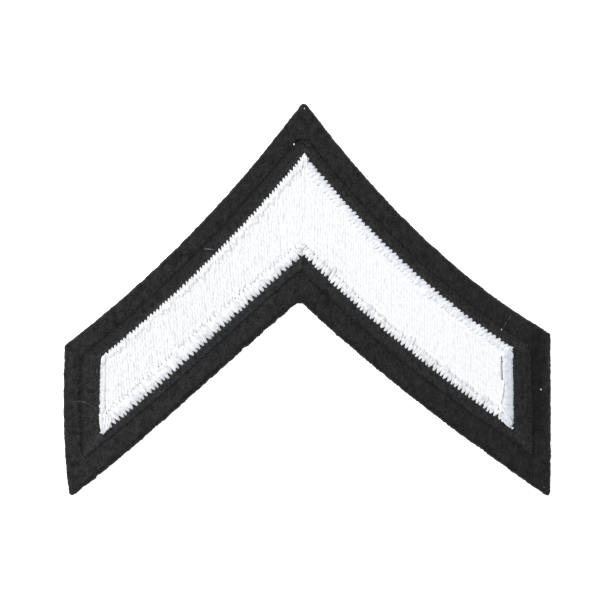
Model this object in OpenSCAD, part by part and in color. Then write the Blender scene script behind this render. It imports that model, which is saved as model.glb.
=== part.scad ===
// Chevron sleeve patch: a white chevron stitched on black felt. It lies on its back, with its
// stitched face up (+Z) and its point toward +Y. The origin is under the middle of its outline.
// Lengths are in millimetres.

/* [Outline] */
// Width from shoulder to shoulder
patch_w = 75.9; // [64:0.1:92]
// Height of the point above the lower tips, before they are rounded
patch_h = 62.1; // [56:0.1:72]
// Height of the left shoulder above its tip
left_end_h = 23.9; // [21:0.1:28]
// Height of the right shoulder above its tip
right_end_h = 25.7; // [21:0.1:28]
// Height of the inner angle above the lower tips
notch_h = 30.9; // [24:0.1:33]
// Distance of the point left of the middle
point_off = 0.6; // [0:0.1:4]
// Distance of the inner angle left of the middle
notch_off = 1.2; // [0:0.1:4]
// Distance of the left tip inside its shoulder
left_lean = 0.7; // [0:0.1:3]
// Deepest bow of a cut edge away from its chord
edge_bow = 2.6; // [0.2:0.1:4]
// Length taken off each side of a corner to round it
corner_round = 1; // [0.2:0.1:1.4]

/* [Felt] */
// Thickness of the felt
felt_t = 1.4; // [1:0.1:3]
// Width of the plain felt between the cut edge and the stitching
margin_w = 3; // [2:0.1:4]
// Width of the crevice that the stitching pulls into the felt
crevice_w = 0.6; // [0.3:0.1:1.2]
// Depth of the crevice
crevice_d = 0.3; // [0.1:0.05:0.6]

/* [Stitching] */
// Width of the black satin band
border_w = 2.1; // [1.4:0.1:2.6]
// Rise of the black satin band above the felt
border_rise = 0.6; // [0.3:0.05:1.2]
// Width of the white satin band
edging_w = 1.2; // [0.8:0.1:1.8]
// Rise of the white satin band above the felt
edging_rise = 0.85; // [0.4:0.05:1.4]
// Rise of the white filling above the felt
field_rise = 0.6; // [0.3:0.05:1.2]
// Width over which the filling rounds down at its rim
field_shoulder = 0.8; // [0.3:0.1:1.5]

/* [Clearances] */
// Gap between one band of stitching and the next
side_gap = 0.08; // [0.04:0.01:0.2]
// Gap between the stitching and the felt under it
seat_gap = 0.04; // [0.02:0.01:0.1]

/* [Hidden] */

// Corners of the cut outline, counter-clockwise from the point
CORNERS = [
    [-point_off, patch_h],
    [-patch_w / 2, left_end_h],
    [left_lean - patch_w / 2, 0],
    [-notch_off, notch_h],
    [patch_w / 2, 0],
    [patch_w / 2, right_end_h]
];
EDGES = len(CORNERS);

// Each table below has a row for each edge, in the order of the corners that the edges start from:
// upper left, left end, lower left, lower right, right end, upper right.
// Bend of an edge, in shares of edge_bow. Columns: outward bow at its middle, lean of it to the start
BEND_SHARES = [
    [-0.73, 0.03],
    [0.19, -0.04],
    [0.1, 0.17],
    [0.37, 0.08],
    [0.03, 0],
    [-1.03, -0.15]
];
// Width of the plain felt, in shares of margin_w. Columns: at the edge's start, middle and end
MARGIN_SHARES = [
    [0.98, 0.9, 0.96],
    [0.84, 0.84, 0.88],
    [1.28, 1.08, 1.2],
    [1.17, 1.17, 1.4],
    [0.92, 0.92, 1.02],
    [1.06, 1.04, 1.07]
];
// Width of the black band, in shares of border_w. Columns: at the edge's start, middle and end
BORDER_SHARES = [
    [1.04, 1.02, 0.95],
    [1.5, 1.4, 1.33],
    [0.55, 0.71, 0.76],
    [0.98, 0.95, 0.76],
    [1.48, 1.4, 1.33],
    [0.81, 0.81, 0.88]
];
// Width of the white band, in shares of edging_w. Columns: at the edge's start, middle and end
EDGING_SHARES = [
    [1, 0.8, 0.75],
    [0.8, 0.8, 0.8],
    [1.1, 1.65, 1.3],
    [1.05, 1, 1],
    [1.2, 1.25, 1.2],
    [1.1, 1.17, 1.25]
];
// What lies between one line of the design and the next: the cut edge, the outside of the black
// band, the outside of the white band and the outside of the filling
STEPS_IN = [
    [margin_w, MARGIN_SHARES],
    [border_w, BORDER_SHARES],
    [edging_w, EDGING_SHARES]
];
// Rounding of each corner, in shares of corner_round, a row for each corner from the point round.
// Columns: cut edge, outside of the black band, outside of the white band, outside of the filling
ROUNDING_SHARES = [
    [1.1, 3, 0.2, 0.6],
    [0.2, 1, 1.2, 0.8],
    [1.1, 0.9, 0.5, 0.5],
    [1.2, 1, 0.4, 0.6],
    [1.1, 0.8, 0.4, 0.5],
    [0.2, 1.2, 0.6, 0.5]
];
// Lines of the design, as columns of the tables above
CUT = 0;
BLACK = 1;
WHITE = 2;
FILLING = 3;

// Cross-section of a satin band. Columns: share across it from its outer side, share of its rise
BAND_SHARES = [
    [0, 0],
    [0, 0.45],
    [0.1, 0.78],
    [0.28, 0.96],
    [0.5, 1],
    [0.72, 0.96],
    [0.9, 0.78],
    [1, 0.45],
    [1, 0]
];
// Rim of the filling. Columns: share of field_shoulder in from the outside, share of its rise
FIELD_SHARES = [
    [0, 0],
    [0, 0.5],
    [0.3, 0.82],
    [1, 1]
];

// Stretches of an edge, places on a rounded corner, and tries at finding where two edges meet
EDGE_PARTS = 8;
CORNER_SHARES = [0.25, 0.5, 0.75];
MEET_TRIES = 5;
SMALL_SHARE = 0.001;
RUN = EDGE_PARTS + 1 + len(CORNER_SHARES);
RING = EDGES * RUN;
seat_z = felt_t + seat_gap;
// How far the crevice's cutter stands out of the felt
cutter_over = 1;

// Value at share t of a run whose start, middle and end are given
function through(ends, t) =
    ends[0] * (1 - t) * (1 - 2 * t) + ends[1] * 4 * t * (1 - t) + ends[2] * t * (2 * t - 1);

// Distance from the cut edge in to a line of the design
function depth(edge, line, t) =
    line == CUT ? 0
    : depth(edge, line - 1, t) + STEPS_IN[line - 1][0] * through(STEPS_IN[line - 1][1][edge], t);

// Point of the cut edge moved in to a line, and by more if asked
function inset_point(edge, line, more, t) =
    let (
        a = CORNERS[edge],
        run = CORNERS[(edge + 1) % EDGES] - a,
        out = [run.y, -run.x] / norm(run),
        bow = BEND_SHARES[edge][0] * edge_bow,
        lean = BEND_SHARES[edge][1] * edge_bow,
        rise = 4 * t * (1 - t) * (bow + lean * (1 - 2 * t)),
        slope = 4 * (1 - 2 * t) * (bow + lean * (1 - 2 * t)) - 8 * lean * t * (1 - t),
        heading = run + out * slope,
        inward = [-heading.y, heading.x] / norm(heading)
    )
    a + run * t + out * rise + inward * (depth(edge, line, t) + more);

function inset_slope(edge, line, more, t) =
    (inset_point(edge, line, more, t + SMALL_SHARE) - inset_point(edge, line, more, t - SMALL_SHARE))
    / (2 * SMALL_SHARE);

// Shares of an edge and of the next one at which their inset lines cross
function crossing(edge, line, more, t = 1, u = 0, tries = MEET_TRIES) =
    tries == 0 ? [t, u]
    : let (
        next = (edge + 1) % EDGES,
        gap = inset_point(next, line, more, u) - inset_point(edge, line, more, t),
        along = inset_slope(edge, line, more, t),
        beside = inset_slope(next, line, more, u),
        spread = cross(along, beside)
    )
    crossing(edge, line, more, t + cross(gap, beside) / spread, u + cross(gap, along) / spread, tries - 1);

// Share of an edge that the rounding of one of its corners takes
function cut_back(edge, corner, line) =
    corner_round * ROUNDING_SHARES[corner][line] / norm(CORNERS[(edge + 1) % EDGES] - CORNERS[edge]);

// One edge of a closed line with the rounded corner after it
function edge_run(edge, line, more, crossings) =
    let (
        next = (edge + 1) % EDGES,
        from = crossings[(edge + EDGES - 1) % EDGES][1] + cut_back(edge, edge, line),
        to = crossings[edge][0] - cut_back(edge, next, line),
        first = inset_point(edge, line, more, to),
        tip = inset_point(edge, line, more, crossings[edge][0]),
        last = inset_point(next, line, more, crossings[edge][1] + cut_back(next, next, line))
    )
    concat(
        [for (k = [0 : EDGE_PARTS]) inset_point(edge, line, more, from + (to - from) * k / EDGE_PARTS)],
        [for (s = CORNER_SHARES) first * (1 - s) ^ 2 + tip * 2 * s * (1 - s) + last * s ^ 2]
    );

function closed_line(line, more) =
    let (crossings = [for (edge = [0 : EDGES - 1]) crossing(edge, line, more)])
    [for (edge = [0 : EDGES - 1]) each edge_run(edge, line, more, crossings)];

cut_x = [for (p = closed_line(CUT, 0)) p.x];
cut_y = [for (p = closed_line(CUT, 0)) p.y];
centre = [(min(cut_x) + max(cut_x)) / 2, (min(cut_y) + max(cut_y)) / 2];

// Closed line of the design in the part's own place
function outline(line, more = 0) = [for (p = closed_line(line, more)) p - centre];

// Points of a ring of the outline raised to a height
function raised(points, z) = [for (p = points) [p.x, p.y, z]];

// Wall between two rings of points, seen from outside
function wall(ring, next_ring) =
    [
        for (i = [0 : RING - 1])
            let (
                a = ring * RING + i,
                b = ring * RING + (i + 1) % RING,
                c = next_ring * RING + (i + 1) % RING,
                d = next_ring * RING + i
            )
            each [[a, d, c], [a, c, b]]
    ];

// Flat face over a ring of points, seen from above: the two arms as strips, and their ends
function cap(ring) =
    let (
        base = ring * RING,
        middle = EDGE_PARTS + 2,
        point = RING - 2,
        notch = 2 * RUN + middle
    )
    [
        for (j = [0 : RUN - 1])
            let (
                a = base + (point + j) % RING,
                b = base + notch - j,
                c = base + notch - j - 1,
                d = base + (point + j + 1) % RING
            )
            each [[a, b, c], [a, c, d]],
        for (j = [0 : RUN - 1])
            let (
                a = base + point - j,
                b = base + point - j - 1,
                c = base + notch + j + 1,
                d = base + notch + j
            )
            each [[a, b, c], [a, c, d]],
        for (edge = [1, 4], j = [1 : RUN - 1])
            let (start = base + (edge - 1) * RUN + middle)
            [start, start + j + 1, start + j]
    ];

function turned_over(faces) = [for (f = faces) [f[0], f[2], f[1]]];

// Raised band between a line of the design and the next one in
module satin_band(line, rise) {
    outer = outline(line, side_gap / 2);
    inner = outline(line + 1, -side_gap / 2);
    rings = len(BAND_SHARES);
    polyhedron(
        points = [
            for (p = BAND_SHARES)
                each raised(outer * (1 - p[0]) + inner * p[0], seat_z + rise * p[1])
        ],
        faces = [for (j = [0 : rings - 1]) each wall(j, (j + 1) % rings)]
    );
}

module ground_cloth() {
    color("#2b2d2d")
    difference() {
        linear_extrude(felt_t) polygon(outline(CUT));
        translate([0, 0, felt_t - crevice_d])
        linear_extrude(crevice_d + cutter_over)
        difference() {
            polygon(outline(BLACK, -crevice_w));
            polygon(outline(BLACK));
        }
    }
}

module black_border() {
    color("#1f2124")
    satin_band(BLACK, border_rise);
}

module white_edging() {
    color("#dde2ec")
    satin_band(WHITE, edging_rise);
}

module white_field() {
    last = len(FIELD_SHARES) - 1;
    color("#eff1f7")
    polyhedron(
        points = [
            for (p = FIELD_SHARES)
                each raised(
                    outline(FILLING, side_gap / 2 + field_shoulder * p[0]),
                    seat_z + field_rise * p[1]
                )
        ],
        faces = concat(
            turned_over(cap(0)),
            [for (j = [0 : last - 1]) each wall(j, j + 1)],
            cap(last)
        )
    );
}

ground_cloth();
black_border();
white_edging();
white_field();
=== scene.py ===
"""Rank chevron patch: black felt with a stitched white chevron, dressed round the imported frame.

Shapes are worked out in millimetres, as in the part's source, and their meshes are made in metres.
"""

import math

import bpy
import numpy as np
from bpy.props import FloatProperty, FloatVectorProperty, IntProperty, PointerProperty
from bpy.types import Operator, Panel, PropertyGroup
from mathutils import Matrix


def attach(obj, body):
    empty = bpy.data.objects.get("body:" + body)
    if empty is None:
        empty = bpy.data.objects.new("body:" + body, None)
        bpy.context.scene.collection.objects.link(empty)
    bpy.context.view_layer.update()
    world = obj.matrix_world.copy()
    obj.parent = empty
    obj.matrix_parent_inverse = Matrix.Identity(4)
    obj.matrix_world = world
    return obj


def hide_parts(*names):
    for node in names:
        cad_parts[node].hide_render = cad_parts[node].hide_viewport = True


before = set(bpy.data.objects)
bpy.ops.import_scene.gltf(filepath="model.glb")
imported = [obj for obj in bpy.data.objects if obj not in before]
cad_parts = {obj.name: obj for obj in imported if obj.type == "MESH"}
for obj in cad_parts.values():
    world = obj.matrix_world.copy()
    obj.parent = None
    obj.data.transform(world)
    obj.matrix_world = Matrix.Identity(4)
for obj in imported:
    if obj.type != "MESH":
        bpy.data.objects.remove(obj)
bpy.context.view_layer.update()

bl_info = {
    "name": "Rank chevron patch",
    "version": (1, 0, 0),
    "blender": (4, 5, 0),
    "location": "3D View > Sidebar > Patch",
    "description": "Builds the felt and the stitching of a sleeve chevron",
    "category": "Object",
}

MM = 0.001

# Outline of the patch, from the part's source. Corners go counter-clockwise from the point.
PATCH_W, PATCH_H = 75.9, 62.1
LEFT_END_H, RIGHT_END_H, NOTCH_H = 23.9, 25.7, 30.9
POINT_OFF, NOTCH_OFF, LEFT_LEAN = 0.6, 1.2, 0.7
EDGE_BOW, CORNER_ROUND = 2.6, 1.0
MARGIN_W, BORDER_W, EDGING_W = 3.0, 2.1, 1.2
FELT_T, CREVICE_D = 1.4, 0.3
BORDER_RISE, EDGING_RISE, FIELD_RISE = 0.6, 0.85, 0.6

CORNERS = np.array([
    [-POINT_OFF, PATCH_H],
    [-PATCH_W / 2, LEFT_END_H],
    [LEFT_LEAN - PATCH_W / 2, 0],
    [-NOTCH_OFF, NOTCH_H],
    [PATCH_W / 2, 0],
    [PATCH_W / 2, RIGHT_END_H],
])
EDGES = len(CORNERS)
UPPER_LEFT, LEFT_END, LOWER_LEFT, LOWER_RIGHT, RIGHT_END, UPPER_RIGHT = range(EDGES)
BEND_SHARES = [[-0.73, 0.03], [0.19, -0.04], [0.1, 0.17], [0.37, 0.08], [0.03, 0], [-1.03, -0.15]]
MARGIN_SHARES = [
    [0.98, 0.9, 0.96], [0.84, 0.84, 0.88], [1.28, 1.08, 1.2],
    [1.17, 1.17, 1.4], [0.92, 0.92, 1.02], [1.06, 1.04, 1.07],
]
BORDER_SHARES = [
    [1.04, 1.02, 0.95], [1.5, 1.4, 1.33], [0.55, 0.71, 0.76],
    [0.98, 0.95, 0.76], [1.48, 1.4, 1.33], [0.81, 0.81, 0.88],
]
EDGING_SHARES = [
    [1, 0.8, 0.75], [0.8, 0.8, 0.8], [1.1, 1.65, 1.3],
    [1.05, 1, 1], [1.2, 1.25, 1.2], [1.1, 1.17, 1.25],
]
STEPS_IN = [(MARGIN_W, MARGIN_SHARES), (BORDER_W, BORDER_SHARES), (EDGING_W, EDGING_SHARES)]
ROUNDING_SHARES = [
    [1.1, 3, 0.2, 0.6], [0.2, 1, 1.2, 0.8], [1.1, 0.9, 0.5, 0.5],
    [1.2, 1, 0.4, 0.6], [1.1, 0.8, 0.4, 0.5], [0.2, 1.2, 0.6, 0.5],
]
CUT, BLACK, WHITE, FILLING = range(4)

# Stretches of each edge and places on each rounded corner, the same on every line of the design
EDGE_PARTS = [360, 168, 360, 360, 168, 360]
CORNER_PARTS = 9
RUN_STARTS = np.concatenate([[0], np.cumsum(np.array(EDGE_PARTS) + 1 + CORNER_PARTS)])
RING = int(RUN_STARTS[-1])
# Points of the ring over which a value for each edge blends into the next one's
BLEND = 40
# Steps of the search for a crossing, the share of an edge over which its slope is measured, and the
# smallest number that may divide
MEET_TRIES, SMALL_SHARE, TINY = 6, 0.001, 1e-9

# Turn of the stitches from square to the edge, in degrees counter-clockwise, a row for each edge.
# Columns: at its start, along it, at its end
BORDER_TURNS = [[0, 0, 0], [0, 0, 0], [0, 0, 0], [0, 0, 0], [4, 4, 4], [0, 0, 0]]
EDGING_TURNS = [[-26, -20, -12], [0, 0, 0], [-28, 2, 0], [4, 4, 16], [0, 0, 0], [-12, -14, 16]]
# How far from a corner its turn blends into the edge's own, and how much single stitches differ from
# both, in degrees
TURN_REACH, TURN_SPREAD = 4.0, 1.2
# How far past an edge's corners its stitches are laid before they are cut off, how far outside the line
# their straight runs start, and how near a line an inner hole, an end of the black stitches and one of
# the white ones count as on it
OVERRUN, SET_BACK = 4 * BORDER_W, 2 * BORDER_W
ON_LINE, BLACK_ON_LINE, WHITE_ON_LINE = 0.1, 0.12, 0.15
# How the white edging lies on each edge. Columns: distance between its needle holes; width and height of its
# threads; how far its teeth reach out past the line, their length and the share of the width left at their
# tips; how far the inner needle holes stray inwards, how deep the threads dip there, over which length, and
# the share of their width left; how far the joint with the filling stands open; brightness, which holds
# painted shade on the sides that face away from the light, and how far its colour is drawn to the cool colour
# of painted shadow; how its threads differ in brightness; and the shares of painted shade at their outer ends
# and of painted light at their inner ones, each turned the other way below none
EDGING_LIE = np.array([
    [0.6, 0.4, 0.08, 0.02, 0.45, 0.62, 0.4, 0.17, 0.9, 0.62, 0.0, 1.1, 0.0, 0.03, 0.22, 0.04],
    [0.36, 0.6, 0.04, -0.11, 0.4, 0.8, 0.04, 0.25, 0.4, 1.0, 0.6, 1.045, 0.0, 0.01, 0.25, -0.02],
    [0.74, 0.52, 0.09, 0.21, 0.42, 0.6, 0.4, 0.2, 0.5, 0.4, 0.3, 1.145, 0.2, 0.05, 0.1, 0.03],
    [0.72, 0.46, 0.09, 0.16, 0.4, 0.64, 0.35, 0.16, 0.9, 0.52, 0.0, 1.105, 0.1, 0.06, 0.08, 0.03],
    [0.4, 0.62, 0.03, -0.14, 0.12, 0.85, 0.05, 0.15, 0.35, 1.0, 0.1, 1.02, 0.6, 0.03, -0.06, -0.04],
    [0.72, 0.56, 0.06, -0.03, 0.46, 0.58, 0.25, 0.15, 0.7, 0.65, 0.0, 1.13, 0.4, 0.04, 0.06, 0.0],
])
(HOLE_STEP, THREAD_W, THREAD_H, REACH, TOOTH, TIP_SHARE, HOLE_STRAY, DIP, DIP_REACH, NECK, GAPE, SHADE,
 SHADOW_COOLNESS, SPREAD, OUTER_PAINTED_SHADE, INNER_PAINTED_LIGHT) = EDGING_LIE.T
# How much painted shade the crevice outside the black border gets on each edge, or painted light where the
# share is below none; the same shares set how deep the crevice and the needle holes sink. Columns: along its
# line, in its needle holes
CREVICE_LIE = np.array([[0.2, 0.25], [0.3, 0.65], [-0.35, 0.1], [0.35, 0.5], [-0.5, 0.1], [-0.25, 0.5]])
# Brightness of the felt's middle, its fall for each millimetre to the right, which is painted light falling
# off from the left, and what each edge adds, which is painted light and shade as the sides face the light
FELT_TONE, FELT_LIGHT_FALLOFF = 0.87, 0.0046
FELT_SHADES = [-0.07, -0.04, 0.06, -0.06, -0.1, -0.02]
# How the black stitches show on each edge, with painted light and shade as each side faces the light.
# Columns: brightness; share of it lost at their outer ends as painted shade, or won as painted light below
# none, and how far in that reaches
BLACK_LIE = np.array([
    [1.0, 0.65, 0.85], [1.0, 0.57, 0.65], [1.06, -0.8, 0.45],
    [0.9, 0.1, 0.25], [0.8, -0.55, 0.3], [0.9, 0.0, 0.5],
])
# How far the cut edge lies outside its line on each edge, how rough it is, how tufted its wall is, how much
# painted shade its rim gets, or painted light below none, and how much of the painted shade spots and of the
# painted highlight band behind the rim shows
CUT_OUT = [0.07, 0.12, 0.01, 0.04, 0.08, 0.06]
CUT_ROUGHNESS = [1.5, 1.2, 2.4, 2.2, 1.2, 1.5]
TUFTS = [0, 0, 1, 1, 0.3, 0.3]
RIM_PAINTED_SHADES = [0.4, 0.5, 0.5, 0.9, -0.9, 0.05]
RIM_SHADE_SPOTS = [0, 0, 1, 0.4, 0, 0]
RIM_PAINTED_GLEAMS = [0.7, 1, 0, 0, 0.8, 0.2]
# Painted shadow on the felt beside the right end, standing for the shadow of the raised border: its middle,
# half its width, the heights between which it lies, and how dark it is
END_X, END_W, END_LOW, END_TOP, END_PAINTED_SHADOW = 35.9, 1.0, -23, -2, 0.32
# Sides of the bands of stitching, outer side first: drop below the crest, and how far in it reaches
BORDER_SIDES = [(0.4, 0.6), (0.06, 0.9)]
EDGING_SIDE = (0.3, 1.1)
BORDER_CREST = FELT_T + BORDER_RISE - 0.18
EDGING_CREST = FELT_T + EDGING_RISE - 0.12
FIELD_CREST = FELT_T + FIELD_RISE - 0.02
# How far the black stitches reach under the white ones, the edging over the filling's line, and the
# filling under its edging
BORDER_TUCK, EDGING_TUCK, FIELD_TUCK = 0.35, 0.05, 0.35
# Width of the open joint between the filling and its edging
OPEN_JOINT = 0.22
# How strongly darker stretches show along the edging's threads on each edge, a share that also scales their
# painted shade in ply grooves and parting strokes, and brightness of the padding seen between them, which is
# painted shade in the gaps
FLECKS = np.array([0.5, 0.3, 0.8, 0.8, 0.6, 0.6])
PAD_SHADES = [0.8, 1.0, 0.8, 0.55, 1.0, 0.9]
# Turn past which the side of a flat thread stays sharp
THREAD_CREASE = math.radians(75)
# Slit at the right end of the filling: the heights between which it stands open, over how much of them it
# closes, its width, and how much darker the padding is in it, for the black felt below and painted shade in
# the slit
SLIT_LOW, SLIT_TOP, SLIT_CLOSES, SLIT_W, SLIT_SHADE = -13.1, -8.4, 0.5, 0.75, 0.8
# Groove between the filling and the left end's edging: how far the threads stand back, over which width,
# and the share of it all along, and added at its deepest place, whose height and reach follow
LEFT_GROOVE, GROOVE_W = 0.16, 0.6
GROOVE_SHARE, GROOVE_MORE, GROOVE_Y, GROOVE_REACH = 0.7, 0.5, -10.5, 2.5

# Loose white threads at the point and the tips. Columns: x and y of the start, middle and end, width,
# brightness, lower at the right tip as painted shade like the right end's
LOOSE_THREADS = np.array([
    [30.89, -11.95, 30.58, -14.46, 30.29, -16.34, 0.3, 1],
    [30.34, -16.5, 31.05, -17.91, 32.03, -20.1, 0.35, 1.03],
    [32.0, -20.07, 32.13, -20.13, 32.2, -20.19, 0.4, 1.03],
    [-0.44, 22.97, -0.41, 22.19, -0.47, 20.31, 0.34, 1],
    [-0.58, 22.74, -0.73, 21.88, -0.89, 20.16, 0.34, 1],
    [-0.3, 22.74, -0.14, 21.88, -0.01, 20.16, 0.34, 1],
    [-32.08, -21.0, -32.32, -19.3, -32.4, -17.44, 0.4, 0.93],
    [-31.98, -21.1, -32.1, -19.2, -32.0, -17.12, 0.42, 0.9],
    [-31.9, -21.05, -31.75, -19.5, -31.55, -17.28, 0.42, 0.95],
    [-31.8, -20.9, -31.3, -19.5, -31.1, -17.5, 0.42, 0.91],
    [-31.6, -20.6, -30.95, -19.4, -30.7, -17.7, 0.4, 0.93],
    [-32.15, -10.2, -32.05, -9.5, -31.95, -8.75, 0.5, 0.93],
    [-31.85, -10.4, -31.8, -9.4, -31.65, -8.5, 0.5, 0.93],
    [31.3, -9.0, 31.4, -8.4, 31.45, -7.75, 0.5, 0.86],
    [31.7, -9.2, 31.75, -8.6, 31.8, -7.95, 0.5, 0.86],
    [32.0, -9.4, 32.02, -8.8, 32.05, -8.2, 0.5, 0.84],
    [30.2, -18.3, 31.0, -19.2, 31.85, -20.1, 0.4, 0.9],
    [30.6, -17.9, 31.3, -18.9, 31.95, -19.85, 0.4, 0.88],
    [31.2, -17.6, 31.75, -18.8, 32.1, -19.7, 0.4, 0.84],
])
# Hairs, specks and curls of thread that lie on the black parts. Columns: x and y of the start, middle
# and end, width, brightness in shares of the felt's colour
LOOSE_HAIRS = np.array([
    [-37.01, -16.1, -34.97, -16.03, -32.86, -17.28, 0.1, 4.5],
    [-24.48, -14.7, -23.54, -14.43, -22.6, -14.46, 0.12, 6],
    [-16.18, 7.94, -15.4, 7.91, -14.53, 7.78, 0.16, 9],
    [32.06, -2.4, 31.44, -3.18, 30.65, -4.44, 0.1, 5],
    [30.34, -4.75, 30.42, -4.69, 30.53, -4.75, 0.28, 30],
    [-2.12, 24.25, -2.04, 24.3, -1.96, 24.25, 0.36, 55],
    [-4.04, 23.76, -3.96, 23.79, -3.88, 23.76, 0.22, 4],
    [-0.52, 29.87, -0.44, 29.91, -0.36, 29.87, 0.3, 22],
    [1.6, 27.67, 1.68, 27.7, 1.76, 27.67, 0.18, 4],
    [36.56, -14.15, 36.62, -14.1, 36.68, -14.15, 0.28, 50],
    [37.0, -29.5, 37.08, -29.45, 37.17, -29.5, 0.22, 9],
    [-2.32, 0.26, -1.77, 1.59, -1.14, 0.42, 0.25, 0.15],
    [1.83, 0.42, 2.62, 1.52, 3.17, 0.26, 0.25, 0.15],
    [3.17, 0.26, 3.01, -0.83, 2.07, -0.21, 0.25, 0.15],
    [-2.55, 23.13, -1.77, 24.93, -0.67, 25.09, 0.3, 0.15],
    [-0.67, 25.09, -0.36, 23.99, 0.74, 24.07, 0.28, 0.15],
    [0.11, 28.66, 0.89, 28.22, 1.6, 27.75, 0.22, 0.2],
    [-32.86, -10.7, -32.92, -11.15, -32.84, -11.6, 0.2, 4],
])

# Needle holes in the felt: how far outside the black stitches they lie, their radius and depth
HOLE_OUT, HOLE_R, HOLE_DEPTH = 0.12, 0.18, 0.22
# Crevice: the least share of its depth, and its reach
CREVICE_LEAST, CREVICE_REACH = 0.1, 0.35
# Height over which the cut edge rolls over, the power of its curve, and the share of its wander lost there
ROLL_H, ROLL_POWER, WANDER_LOST = 0.45, 2.4, 0.6
# Rings of the felt: shares of the margin along its back, heights up its wall, steps of the roll and of
# the face, and how far in and how deep the rings under the stitching lie
BACK_SHARES = (1.0, 0.7, 0.4, 0.15, 0.03)
WALL_HEIGHTS = (0.1, 0.3, 0.5, 0.7)
ROLL_STEPS, FACE_STEPS = 8, 24
UNDER_STEPS = ((0.1, 0.3), (0.25, 0.2), (0.5, 0.1), (1.0, 0.05))
ROLL_START = len(BACK_SHARES) + len(WALL_HEIGHTS)
FACE_START = ROLL_START + ROLL_STEPS
UNDER_START = FACE_START + FACE_STEPS
FELT_ROWS = UNDER_START + len(UNDER_STEPS)
# Loose fibres: the share that grows from the rim, steps along each, how they bend and droop, their
# lowest place, the range of their width, and how much of it is gone at the tip
RIM_FIBRES, FIBRE_STEPS, FIBRE_CURL, FIBRE_DROOP = 0.3, 5, 0.35, 0.22
FIBRE_LOWEST, FIBRE_W, FIBRE_TAPER = 0.03, (0.02, 0.04), 0.6
# Steps along each hair, loose thread and thread of the filling, and sides round every thread
HAIR_STEPS, LOOSE_STEPS, FIELD_STEPS, SIDES = 9, 12, 84, 6
# How far a thread's pole stands out past its end, in shares of its height
POLE_OUT = 0.3
# Width of the black threads in shares of their pitch, and their height
BLACK_OVERLAP, BLACK_THREAD_H = 2.1, 0.03
# How far in from their inner ends the edging's threads narrow to their necks
NECK_REACH = 0.45
# Padding: how far it stays under its threads, and the places of its rings, as shares of the way across
PADDING_CLEAR = 0.02
PADDING_STEPS = (0.0, 0.06, 0.2, 0.4, 0.6, 0.8, 0.94, 1.0)
# Loose threads right of this place take the right end's share of the cool colour of painted shadow, and the
# others this share
LOOSE_COOL_X, LOOSE_COOLNESS = 25, 0.2
# Lean of the filling's threads on the left half, and how far a needle hole of the edging pushes one aside
FIELD_LEAN, HOLE_PUSH = 0.07, 0.13
# Distance between the numbers of neighbouring threads, far enough apart for their relief to differ
APART = 7.0
# Stage. In millimetres: half the floor's side, and how far it lies under the patch. In metres: the soft
# light's side and place, the camera's place and height over the felt's face, and the width that it sees
# there; then the width of its sensor in millimetres
FLOOR_HALF, FLOOR_DROP = 2000.0, 0.02
KEY_SIDE, KEY_AT = 0.35, (-0.42, 0.27, 0.42)
EYE_AT, EYE_H, VIEW_W = (-0.001142, -0.000051), 1.0, 0.09398
SENSOR_W = 36.0


# The outline

def unit(v):
    """Vectors cut to length one."""
    return v / np.maximum(np.linalg.norm(v, axis=-1, keepdims=True), 1e-12)


def cross2(a, b):
    """a.x b.y - a.y b.x of plane vectors."""
    return a[..., 0] * b[..., 1] - a[..., 1] * b[..., 0]


def through(ends, t):
    """The parabola through the values at a run's start, middle and end, at share t."""
    a, b, c = ends
    return a * (1 - t) * (1 - 2 * t) + b * 4 * t * (1 - t) + c * t * (2 * t - 1)


def edge_point(edge, line, t, more=0.0):
    """A cut edge moved in to a line of the design: the chord's point at share t, out by
    4t(1-t)(bow + lean(1-2t)), then in along the normal by the widths down to that line."""
    start = CORNERS[edge]
    run = CORNERS[(edge + 1) % EDGES] - start
    out = np.array([run[1], -run[0]]) / np.hypot(*run)
    bow, lean = np.array(BEND_SHARES[edge]) * EDGE_BOW
    t = np.asarray(t, float)[..., None]
    rise = 4 * t * (1 - t) * (bow + lean * (1 - 2 * t))
    slope = 4 * (1 - 2 * t) * (bow + lean * (1 - 2 * t)) - 8 * lean * t * (1 - t)
    heading = unit(run + out * slope)
    inward = np.stack([-heading[..., 1], heading[..., 0]], -1)
    depth = more + sum(width * through(shares[edge], t) for width, shares in STEPS_IN[:line])
    return start + run * t + out * rise + inward * depth


def edge_slope(edge, line, t, more=0.0):
    """Change of edge_point with its share, from two points close together."""
    step = edge_point(edge, line, t + SMALL_SHARE, more) - edge_point(edge, line, t - SMALL_SHARE, more)
    return step / (2 * SMALL_SHARE)


def crossing(edge, line, more=0.0):
    """Shares of an edge and of the next one where their moved lines cross, by walking both tangents."""
    after = (edge + 1) % EDGES
    t, u = 1.0, 0.0
    for _ in range(MEET_TRIES):
        gap = edge_point(after, line, u, more) - edge_point(edge, line, t, more)
        along, beside = edge_slope(edge, line, t, more), edge_slope(after, line, u, more)
        spread = cross2(along, beside)
        t, u = t + cross2(gap, beside) / spread, u + cross2(gap, along) / spread
    return t, u


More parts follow.
